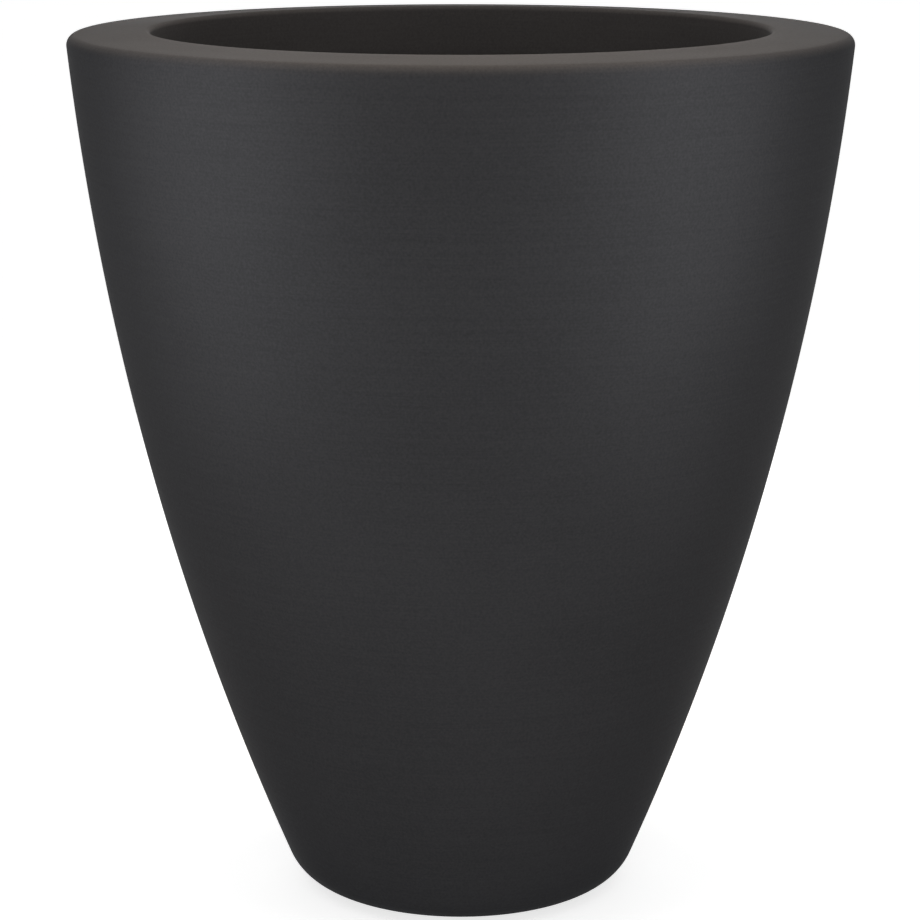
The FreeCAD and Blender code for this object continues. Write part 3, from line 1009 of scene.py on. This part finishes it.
feet = {
    "circle": 0.1080285,
    "count": 4,
    "radius": 0.019,
    "height": 0.003,
    "clearance": 0.00005,
    "grooves": (0.0075, 0.0105, 0.0135),  # inner radius of each groove round the underside
    "grooveWidth": 0.0012,
    "grooveSlope": 0.0003,
    "grooveDepth": 0.0005,
    "lowerRounding": 0.0007,
    "upperRounding": 0.0005,
    "segments": 72,
}
screw = {
    "headRadius": 0.0044,
    "headHeight": 0.0023,
    "headEdge": 0.0002,
    "shankRadius": 0.0022,
    "length": 0.021,
    "sink": 0.0005,
    "driveRadius": 0.0017,
    "driveDepth": 0.0012,
    "driveCone": 0.0003,
    "threadPitch": 0.0012,
    "threadDepth": 0.0005,
    "threadStart": 0.0015,
    "threadFade": 0.001,
    "threadRings": 90,
    "tipShare": 0.55,
    "tipHeight": 0.0009,
    "segments": 48,
}
footTurns = [math.pi / 4 + k * 2 * math.pi / feet["count"] for k in range(feet["count"])]
footSpots = [(feet["circle"] * math.cos(turn), feet["circle"] * math.sin(turn)) for turn in footTurns]


def padOutline():
    radius, height, sink = feet["radius"], feet["height"], screw["sink"]
    headR, shankR = screw["headRadius"] + feet["clearance"], screw["shankRadius"] + feet["clearance"]
    neck = sink + screw["headHeight"]
    outline = [(shankR, height, 0), (shankR, neck, 0), (headR, sink, 0), (headR, 0.0, 0)]
    for start in feet["grooves"]:
        end, slope, depth = start + feet["grooveWidth"], feet["grooveSlope"], feet["grooveDepth"]
        outline += [(start, 0.0, 0), (start + slope, depth, 0), (end - slope, depth, 0), (end, 0.0, 0)]
    outline += rounded((headR, 0.0), (radius, 0.0), (radius, height), feet["lowerRounding"], 0, 3)
    outline += rounded((radius, 0.0), (radius, height), (shankR, height), feet["upperRounding"], 0, 3)
    return outline


footPads = turnedPiece("footPads", padOutline(), [rubber], feet["segments"], copies=footSpots)
place(footPads, "planter", "black_rubber", "foot_pads")


def screwOutline():
    low, neck, tip = screw["sink"], screw["sink"] + screw["headHeight"], screw["sink"] + screw["length"]
    drive, headR, shankR = screw["driveRadius"], screw["headRadius"], screw["shankRadius"]
    driveTop, edge, rings = low + screw["driveDepth"], screw["headEdge"], screw["threadRings"]
    threadTop = tip - shankR
    outline = [(0.0, driveTop + screw["driveCone"], 0), (drive, driveTop, 0), (drive, low, 0)]
    outline += [(headR - edge, low, 0), (headR, low + edge, 0)]
    outline += [(shankR, neck + (threadTop - neck) * k / rings, 0) for k in range(rings + 1)]
    outline += [(shankR * screw["tipShare"], tip - screw["tipHeight"], 0), (0.0, tip, 0)]
    return outline


def screwShape(angle, r, z):
    neck = screw["sink"] + screw["headHeight"]
    if z <= screw["sink"] + screw["driveDepth"] + 1e-6 and r <= screw["driveRadius"] + 1e-6:
        return hexRadius(angle, screw["driveRadius"] * math.sqrt(3)), z
    if abs(r - screw["shankRadius"]) < 1e-6 and z > neck + screw["threadStart"]:
        phase = ((z - neck) / screw["threadPitch"] - angle / (2 * math.pi)) % 1.0
        fade = min(1.0, (z - neck - screw["threadStart"]) / screw["threadFade"])
        return r - fade * screw["threadDepth"] * abs(2 * phase - 1) ** 0.7, z
    return r, z


footScrews = turnedPiece("footScrews", screwOutline(), [stainless], screw["segments"], screwShape,
                         sharpAngle=32, copies=footSpots)
place(footScrews, "planter", "stainless_steel", "foot_screws")
print("feet made")


# CAD solids that stay: the plywood cores and the ring that closes the rim

for node, finish in (("rim_core", plywood), ("floor_core", plywood), ("rim_closing_ring", rawInside)):
    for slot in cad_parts[node].material_slots:
        slot.material = finish
print("cores and closing ring finished")


# Studio: pale floor, plain white surroundings, and soft lamps in front, over the mouth and behind

studio = {
    "floorColour": (0.80, 0.80, 0.80),
    "floorGlow": 0.74,
    "floorReach": 40.0,
    "roomLight": 0.33,
    "roomWhite": 1.0,
}
plainLamp = {"colour": (1.0, 1.0, 1.0), "spread": 180}
warmWhite = (1.0, 0.83, 0.66)
lamps = {
    "leftStrip": {"at": (-0.358, -0.487, 0.80), "aim": (0, 0, 0.77), "size": (0.08, 0.64), "power": 0.98},
    "rightStrip": {"at": (0.333, -0.508, 0.80), "aim": (0, 0, 0.77), "size": (0.08, 0.60), "power": 0.90},
    "lowFront": {"at": (-0.12, -1.20, 0.12), "aim": (0, 0, 0.14), "size": (0.9, 0.2), "power": 2.3},
    "overMouth": {"at": (0.0, -0.36, 1.35), "aim": (0, -0.34, 0.86), "size": (0.5, 0.4), "power": 3.7,
                  "colour": warmWhite},
    "highBack": {"at": (0.0, 0.45, 2.60), "aim": (0, 0, 0.86), "size": (0.9, 0.6), "power": 2.2,
                 "colour": warmWhite, "spread": 50},
    "backFill": {"at": (0.0, 2.2, 0.90), "aim": (0, 0, 0.45), "size": (1.8, 1.0), "power": 9.0},
}


def seenDirectly(tree, x, y):
    # 1 for camera, glossy and transmission rays, 0 for the rest
    path = addNode(tree, "ShaderNodeLightPath", x, y)
    rays = [path.outputs["Is " + kind + " Ray"] for kind in ("Camera", "Glossy", "Transmission")]
    direct = combined(tree, rays[0], rays[1], "MAXIMUM", x + 180, y)
    return combined(tree, direct, rays[2], "MAXIMUM", x + 340, y)


def buildRoom():
    world = bpy.data.worlds.new("plainRoom")
    world.use_nodes = True
    bpy.context.scene.world = world
    tree = world.node_tree
    dim = tree.nodes["Background"]
    dim.inputs["Color"].default_value = (1, 1, 1, 1)
    dim.inputs["Strength"].default_value = studio["roomLight"]
    white = addNode(tree, "ShaderNodeBackground", 0, -200)
    white.inputs["Color"].default_value = (1, 1, 1, 1)
    white.inputs["Strength"].default_value = studio["roomWhite"]
    mix = addNode(tree, "ShaderNodeMixShader", 200, 0)
    tree.links.new(seenDirectly(tree, -600, 200), mix.inputs[0])
    tree.links.new(dim.outputs[0], mix.inputs[1])
    tree.links.new(white.outputs[0], mix.inputs[2])
    tree.links.new(mix.outputs[0], tree.nodes["World Output"].inputs["Surface"])


def buildFloor():
    material = bpy.data.materials.new("paleFloor")
    material.use_nodes = True
    tree = material.node_tree
    tree.nodes.clear()
    matt = addNode(tree, "ShaderNodeBsdfDiffuse", -200, 100)
    matt.inputs["Color"].default_value = (*studio["floorColour"], 1)
    glow = addNode(tree, "ShaderNodeEmission", -200, -100)
    strength = combined(tree, seenDirectly(tree, -900, -100), studio["floorGlow"], "MULTIPLY", -380, -100)
    tree.links.new(strength, glow.inputs["Strength"])
    both = addNode(tree, "ShaderNodeAddShader", 0, 0)
    output = addNode(tree, "ShaderNodeOutputMaterial", 200, 0)
    tree.links.new(matt.outputs[0], both.inputs[0])
    tree.links.new(glow.outputs[0], both.inputs[1])
    tree.links.new(both.outputs[0], output.inputs["Surface"])
    mesh = bpy.data.meshes.new("paleFloor")
    reach = studio["floorReach"]
    corners = [(-reach, -reach, 0), (reach, -reach, 0), (reach, reach, 0), (-reach, reach, 0)]
    mesh.from_pydata(corners, [], [(0, 1, 2, 3)])
    mesh.materials.append(material)
    floor = bpy.data.objects.new("paleFloor", mesh)
    bpy.context.scene.collection.objects.link(floor)


def hangLamp(name, settings):
    light = bpy.data.lights.new(name, "AREA")
    light.shape = "RECTANGLE"
    light.size, light.size_y = settings["size"]
    light.energy = settings["power"]
    light.color = settings["colour"]
    light.spread = math.radians(settings["spread"])
    lamp = bpy.data.objects.new(name, light)
    lamp.location = settings["at"]
    direction = Vector(settings["aim"]) - Vector(settings["at"])
    lamp.rotation_euler = direction.to_track_quat("-Z", "Y").to_euler()
    lamp.visible_camera = False
    bpy.context.scene.collection.objects.link(lamp)


buildRoom()
buildFloor()
for name, settings in lamps.items():
    hangLamp(name, {**plainLamp, **settings})
print("studio built")


# Camera: in front of the planter and above its rim, looking a little down

view = {
    "at": (0.0, -2.9289, 1.0889),
    "tilt": math.radians(77.388),
    "lens": 117.27,
    "sensor": 36.0,
    "frame": 920,  # pixels across
    "shift": (-0.7, 0.5),  # pixels
}
lens = bpy.data.cameras.new("photoView")
lens.lens = view["lens"]
lens.sensor_width = view["sensor"]
lens.shift_x = view["shift"][0] / view["frame"]
lens.shift_y = view["shift"][1] / view["frame"]
camera = bpy.data.objects.new("photoView", lens)
camera.location = view["at"]
camera.rotation_euler = (view["tilt"], 0, 0)
bpy.context.scene.collection.objects.link(camera)
bpy.context.scene.camera = camera
bpy.context.scene.view_settings.view_transform = "Standard"
print("camera placed")
